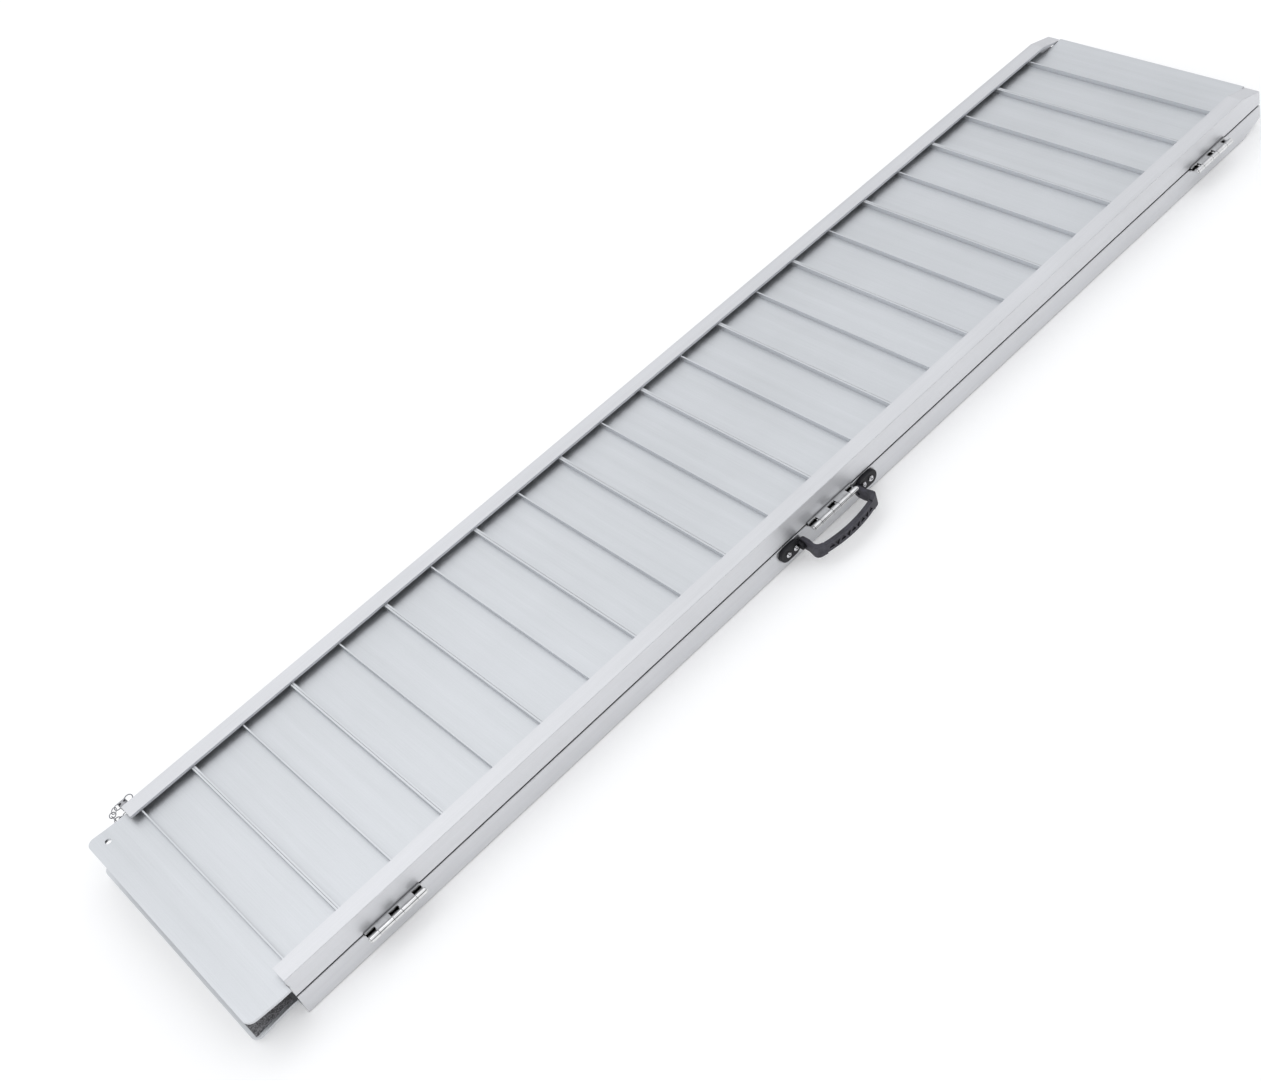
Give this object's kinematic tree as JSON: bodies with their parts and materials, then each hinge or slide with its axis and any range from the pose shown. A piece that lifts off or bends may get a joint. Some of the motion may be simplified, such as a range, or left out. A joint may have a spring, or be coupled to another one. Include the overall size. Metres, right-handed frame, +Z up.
{
  "type": "portable folding wheelchair ramp",
  "caption": "Folding ramp of aluminium planks in two hinged panels with bent lips, grit surface, kerbs, an arched carry handle and a chained safety pin.",
  "frame": {"origin": "centre of the folded ramp's bounding box, at floor level", "axes": "+X from the lips to the ground end, +Y from the hinge side to the open side, +Z up"},
  "size_m": [1.525, 0.36, 0.056],
  "materials": {
    "rail_aluminium": "extruded, mill finish",
    "deck_aluminium": "extruded, mill finish, fine lengthwise grain",
    "grit": "coarse mineral grit in black resin",
    "rivet_metal": "satin",
    "hinge_steel": "polished stainless",
    "handle_rubber": "moulded, matte",
    "pin_steel": "zinc plated"
  },
  "bodies": {
    "lower_panel": {"lower_outer_rail": "rail_aluminium", "lower_hinge_rail": "rail_aluminium", "lower_lip_plank": "deck_aluminium", "lower_plank_02": "deck_aluminium", "lower_plank_03": "deck_aluminium", "lower_plank_04": "deck_aluminium", "lower_plank_05": "deck_aluminium", "lower_plank_06": "deck_aluminium", "lower_plank_07": "deck_aluminium", "lower_plank_08": "deck_aluminium", "lower_plank_09": "deck_aluminium", "lower_plank_10": "deck_aluminium", "lower_plank_11": "deck_aluminium", "lower_ground_plank": "deck_aluminium", "lower_grit_strips": "grit", "near_hinge_lower_leaf": "hinge_steel", "middle_hinge_lower_leaf": "hinge_steel", "far_hinge_lower_leaf": "hinge_steel", "near_hinge_pin": "hinge_steel", "middle_hinge_pin": "hinge_steel", "far_hinge_pin": "hinge_steel", "lower_leaf_rivets": "rivet_metal", "near_handle_pad": "handle_rubber", "far_handle_pad": "handle_rubber", "handle_rivets": "rivet_metal"},
    "upper_panel": {"upper_outer_rail": "rail_aluminium", "upper_hinge_rail": "rail_aluminium", "upper_lip_plank": "deck_aluminium", "upper_plank_02": "deck_aluminium", "upper_plank_03": "deck_aluminium", "upper_plank_04": "deck_aluminium", "upper_plank_05": "deck_aluminium", "upper_plank_06": "deck_aluminium", "upper_plank_07": "deck_aluminium", "upper_plank_08": "deck_aluminium", "upper_plank_09": "deck_aluminium", "upper_plank_10": "deck_aluminium", "upper_plank_11": "deck_aluminium", "upper_ground_plank": "deck_aluminium", "upper_grit_strips": "grit", "near_hinge_upper_leaf": "hinge_steel", "middle_hinge_upper_leaf": "hinge_steel", "far_hinge_upper_leaf": "hinge_steel", "upper_leaf_rivets": "rivet_metal", "chain_anchor": "pin_steel", "chain_link_7": "pin_steel"},
    "handle": {"handle_grip": "handle_rubber"},
    "safety_pin": {"safety_pin": "pin_steel", "chain_link_1": "pin_steel"},
    "split_ring": {"split_ring": "pin_steel"},
    "link_2": {"chain_link_2": "pin_steel"},
    "link_3": {"chain_link_3": "pin_steel"},
    "link_4": {"chain_link_4": "pin_steel"},
    "link_5": {"chain_link_5": "pin_steel"},
    "link_6": {"chain_link_6": "pin_steel"}
  },
  "joints": [
    {"name": "fold", "type": "hinge", "parent": "lower_panel", "child": "upper_panel", "pos_m": [0, -0.152, 0.028], "axis": [1, 0, 0], "range_deg": [0, 180]},
    {"name": "handle_tuck", "type": "hinge", "parent": "lower_panel", "child": "handle", "pos_m": [-0.0099, -0.1505, 0.018], "axis": [1, 0, 0], "range_deg": [0, 90]},
    {"name": "pin_pull", "type": "slide", "parent": "upper_panel", "child": "safety_pin", "axis": [0, 1, 0], "range_m": [0, 0.008]},
    {"name": "link_2_follow", "type": "slide", "parent": "upper_panel", "child": "link_2", "axis": [0, 1, 0], "range_m": [0, 0.00667]},
    {"name": "link_3_follow", "type": "slide", "parent": "upper_panel", "child": "link_3", "axis": [0, 1, 0], "range_m": [0, 0.00533]},
    {"name": "link_4_follow", "type": "slide", "parent": "upper_panel", "child": "link_4", "axis": [0, 1, 0], "range_m": [0, 0.004]},
    {"name": "link_5_follow", "type": "slide", "parent": "upper_panel", "child": "link_5", "axis": [0, 1, 0], "range_m": [0, 0.00267]},
    {"name": "link_6_follow", "type": "slide", "parent": "upper_panel", "child": "link_6", "axis": [0, 1, 0], "range_m": [0, 0.00133]},
    {"name": "ring_swing", "type": "hinge", "parent": "safety_pin", "child": "split_ring", "pos_m": [-0.7049, 0.176, 0.05], "axis": [0, 0, 1], "range_deg": [-25, 95]}
  ],
  "couplings": [
    {"joint": "handle_tuck", "follows": "fold", "ratio": 0.5},
    {"joint": "link_2_follow", "follows": "pin_pull", "ratio": 0.83333},
    {"joint": "link_3_follow", "follows": "pin_pull", "ratio": 0.66667},
    {"joint": "link_4_follow", "follows": "pin_pull", "ratio": 0.5},
    {"joint": "link_5_follow", "follows": "pin_pull", "ratio": 0.33333},
    {"joint": "link_6_follow", "follows": "pin_pull", "ratio": 0.16667}
  ]
}
